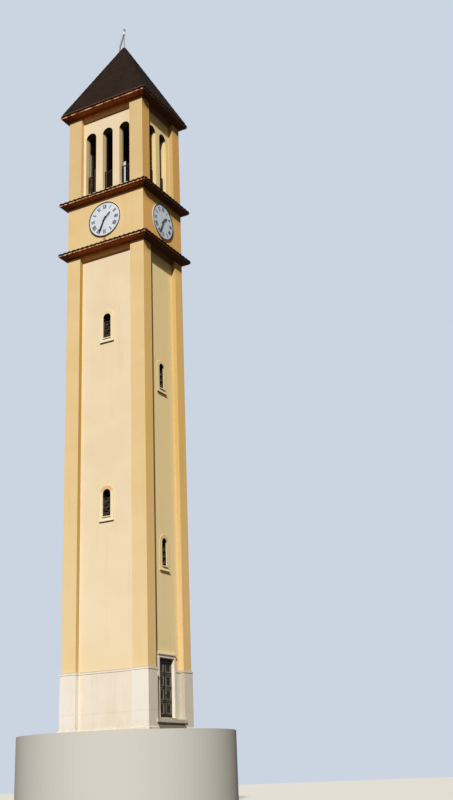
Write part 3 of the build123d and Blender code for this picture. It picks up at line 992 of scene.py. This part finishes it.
def dial_faces():
    """Raised numerals that stand upright towards the centre, and a dark rim."""
    figures = Pieces()
    rims = Pieces()
    texts = ["XII", "I", "II", "III", "IIII", "V", "VI", "VII", "VIII", "IX", "X", "XI"]
    rim = [(dial_radius - rim_inset - inset, height) for inset, height in rim_section]
    for side in sides:
        axes = wall(side, face_of[side] + dial_thickness, dial_centre)
        for hour, text in enumerate(texts):
            placed = axes @ Matrix.Rotation(-math.radians(30 * hour), 4, "Z")
            placed = placed @ Matrix.Translation((0, numeral_centre, 0))
            # each bar stands a little higher than the last, so that no two faces coincide
            for layer, outline in enumerate(numeral_bars(text)):
                figures.prism(outline, 0.0, numeral_relief + relief_step * layer, placed)
        rims.ring(rim, rim_steps, axes)
    figures.finish("dial_numerals", "numeral_grey", "hand_black")
    rims.finish("dial_rims", "hand_black", "hand_black")


# Belfry railings
def railing_frames():
    """Flat end posts and a top rail that stiffen each railing."""
    frames = Pieces()
    depth = (-rail_frame_depth / 2, rail_frame_depth / 2)
    for side in sides:
        axes = wall(side, face_of[side] - panel_recess - rail_set_back, belfry_sill)
        for place in opening_places[side]:
            left, right = place - opening_width / 2, place + opening_width / 2
            for start in (left, right - rail_frame_width):
                frames.bar((start, start + rail_frame_width), (rail_foot, rail_height), depth, axes)
            top_rail = (rail_height - rail_frame_width, rail_height + rail_frame_proud)
            frames.bar((left, right), top_rail, depth, axes)
    frames.finish("belfry_railing_frames", "iron")


# Windows
def scroll(centre, hand):
    """A flat spiral path that winds in to its centre, one way or the other."""
    path = []
    start = math.radians(90 - 90 * hand)
    steps = int(14 * scroll_turns)
    for step in range(steps + 1):
        share = step / steps
        angle = start + hand * 2 * math.pi * scroll_turns * share
        reach = scroll_radius * (1 - scroll_winding * share)
        path.append((centre[0] + reach * math.cos(angle), centre[1] + reach * math.sin(angle), 0.0))
    return path


def window_grilles():
    """Scrolled ironwork in the lower two thirds of each small window."""
    iron = Pieces()
    half = window_width / 2
    row_height = grille_height / grille_rows
    levels = [grille_foot] + [row_height * (row + 1) for row in range(grille_rows)]
    depth = (-half_bar, half_bar)
    for side in sides:
        for sill in window_sills[side]:
            axes = wall(side, face_of[side] - panel_recess - grille_set_back, sill)
            for level in levels:
                iron.bar((-half, half), (level - half_bar, level + half_bar), depth, axes)
            for place in (-half, half - grille_post):
                iron.bar((place, place + grille_post), (0.0, grille_height), depth, axes)
            for row in range(grille_rows):
                middle = (row + 0.5) * row_height
                for hand in (-1, 1):
                    centre = (hand * scroll_offset, middle + hand * scroll_stagger)
                    iron.tube(scroll(centre, hand), scroll_thickness, axes)
                ring = [(x, y, 0.0) for x, y in arc(ring_radius, 0, 360, 14, (0.0, middle))]
                iron.tube(ring, ring_thickness, axes)
    iron.finish("window_scroll_grilles", "grille_iron_rust_and_light", "iron", smooth=True)


# Plinth facing
def plinth_slabs():
    """Stone slabs with fine open joints on the faces of the plinth."""
    slabs = Pieces()
    for side in sides:
        run = half_run[side] - plinth_proud
        end = half_length[side] + plinth_proud
        pier = face_of[side] + plinth_proud
        spans = [(-end, -run, pier), (run, end, pier)]
        if side != "right":
            spans.append((-run, run, pier - panel_recess))
        for left, right, distance in spans:
            axes = wall(side, distance)
            count = max(1, round((right - left) / slab_width))
            for number in range(count):
                start = left + (right - left) * number / count + half_joint
                stop = left + (right - left) * (number + 1) / count - half_joint
                for low, high in ((foot_course_top, slab_course_top), (slab_course_top, plinth_cap_foot)):
                    heights = (low + half_joint, high - half_joint)
                    slabs.bar((start, stop), heights, (0.0, slab_relief), axes)
    slabs.finish("plinth_slabs", "white_stone")


# Door
def door_mouldings():
    """Stepped mouldings round the panels and a bead on each rail."""
    pitch = (leaf_height - (panel_rows + 1) * leaf_rail) / panel_rows + leaf_rail
    axes = wall("right", door_face)
    for name, hand in (("near", -1), ("far", 1)):
        trim = Pieces()
        edges = sorted((hand * leaf_inner_edge, hand * leaf_outer_edge))
        left, right = edges[0] + leaf_stile, edges[1] - leaf_stile
        for row in range(panel_rows):
            low = leaf_foot + leaf_rail + row * pitch
            high = low + pitch - leaf_rail
            for inset, width, height in moulding_steps:
                picture_frame(trim, (left + inset, right - inset), (low + inset, high - inset),
                              width, (-panel_depth, height), axes)
        for row in range(1, panel_rows):
            level = leaf_foot + row * pitch + leaf_rail / 2
            trim.bar((left, right), (level - half_bead, level + half_bead),
                     (0.0, bead_height), axes)
        trim.finish(f"door_mouldings_{name}", "door_moulding", "door_wood", f"door_leaf_{name}")


def picture_frame(pieces, x_range, y_range, width, z_range, axes):
    """Four bars inside the edges of a rectangle."""
    (left, right), (low, high) = x_range, y_range
    for start in (low, high - width):
        pieces.bar((left, right), (start, start + width), z_range, axes)
    for start in (left, right - width):
        pieces.bar((start, start + width), (low + width, high - width), z_range, axes)


# Wind vane
def vane_edging():
    """A round bead along the edges of the vane's banner, aft of its sleeve."""
    low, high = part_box("wind_vane")
    middle = Matrix.Translation((0, 0, (low[2] + high[2]) / 2))
    axes = middle @ Matrix.Rotation(vane_heading, 4, "Z") @ wall("front", 0.0)
    tail, neck = vane_tail_depth / 2, vane_neck_depth / 2
    rise = neck + (tail - neck) * vane_bead_start / vane_tail_length
    path = [(vane_bead_start, rise, 0), (vane_tail_length, tail, 0),
            (vane_tail_length - vane_tail_notch, 0, 0),
            (vane_tail_length, -tail, 0), (vane_bead_start, -rise, 0)]
    bead = Pieces()
    for first, last in zip(path, path[1:]):
        bead.tube([first, last], vane_bead, axes, 10)
    bead.finish("vane_edging", "vane_metal", body="wind_vane")


# Surroundings and light
def seen_directly(tree):
    """1 for what the camera sees, also in reflections and through glass, and 0 for other light."""
    path = tree.nodes.new("ShaderNodeLightPath")
    either = path.outputs["Is Camera Ray"]
    for ray in ("Is Glossy Ray", "Is Transmission Ray"):
        larger = tree.nodes.new("ShaderNodeMath")
        larger.operation = "MAXIMUM"
        tree.links.new(either, larger.inputs[0])
        tree.links.new(path.outputs[ray], larger.inputs[1])
        either = larger.outputs[0]
    return either


def ground_material():
    """A pale matt floor that throws back as little light as dark ground does."""
    paint = Paint("stage_ground", roughness=0.95, specular=0.1)
    paint.start((90, 80, 65), (196, 195, 190), seen_directly(paint.tree))
    return paint.material


def add_stage():
    """A round stand under the tower on a wide floor."""
    ground = ground_material()
    bpy.ops.mesh.primitive_cylinder_add(vertices=128, radius=stand_radius, depth=stand_height,
                                        location=(0, 0, -stand_height / 2))
    stand = bpy.context.object
    stand.name = "stage_stand"
    bpy.ops.mesh.primitive_circle_add(vertices=128, radius=floor_radius, fill_type="NGON",
                                      location=(0, 0, -stand_height))
    floor = bpy.context.object
    floor.name = "stage_floor"
    for item in (stand, floor):
        item.data.materials.append(ground)


def add_light():
    """A weak sky that looks pale, the sun, and a softer lamp for the sides in shade."""
    scene = bpy.context.scene
    world = bpy.data.worlds.new("world")
    scene.world = world
    world.use_nodes = True
    tree = world.node_tree
    lit = tree.nodes["Background"]
    seen = tree.nodes.new("ShaderNodeBackground")
    for node, colour, strength in ((lit, (1.0, 0.90, 0.80, 1), 0.10), (seen, rgb(203, 213, 226), 1.0)):
        node.inputs["Color"].default_value = colour
        node.inputs["Strength"].default_value = strength
    mixed = tree.nodes.new("ShaderNodeMixShader")
    tree.links.new(seen_directly(tree), mixed.inputs[0])
    tree.links.new(lit.outputs[0], mixed.inputs[1])
    tree.links.new(seen.outputs[0], mixed.inputs[2])
    tree.links.new(mixed.outputs[0], tree.nodes["World Output"].inputs["Surface"])
    add_sun("sun", azimuth=25.5, elevation=36.5, energy=4.3, colour=(1.0, 0.97, 0.91), spread=1.5)
    add_sun("fill", azimuth=212, elevation=32, energy=2.2, colour=(1.0, 0.97, 0.93), spread=12)
    scene.view_settings.view_transform = "Standard"


def add_sun(name, azimuth, elevation, energy, colour, spread):
    """A distant lamp. The azimuth is counted from the front towards the entrance side."""
    lamp = linked(name, bpy.data.lights.new(name, "SUN"))
    around, up = math.radians(azimuth), math.radians(elevation)
    towards = Vector((math.sin(around) * math.cos(up), -math.cos(around) * math.cos(up), math.sin(up)))
    lamp.rotation_mode = "QUATERNION"
    lamp.rotation_quaternion = towards.to_track_quat("Z", "Y")
    lamp.data.energy = energy
    lamp.data.color = colour
    lamp.data.angle = math.radians(spread)


def dress_nodes():
    """Gives each solid its slot's material, and two of them their own."""
    own_material = {"window_surrounds": "surround_plaster", "finial_post": "post_metal"}
    for name, node in frame["nodes"].items():
        node.data.materials.clear()
        node.data.materials.append(materials[own_material.get(name, slot_of[name])])


add_camera()
materials = make_materials()
dress_nodes()
for cornice_name in cornice_tops:
    cornice_moulding(cornice_name)
    if cornice_name != "upper_cornice":
        recess_splays(cornice_name)
cornice_tiles()
roof_shingles()
hip_tiles()
dial_faces()
railing_frames()
window_grilles()
plinth_slabs()
door_mouldings()
vane_edging()
add_stage()
add_light()
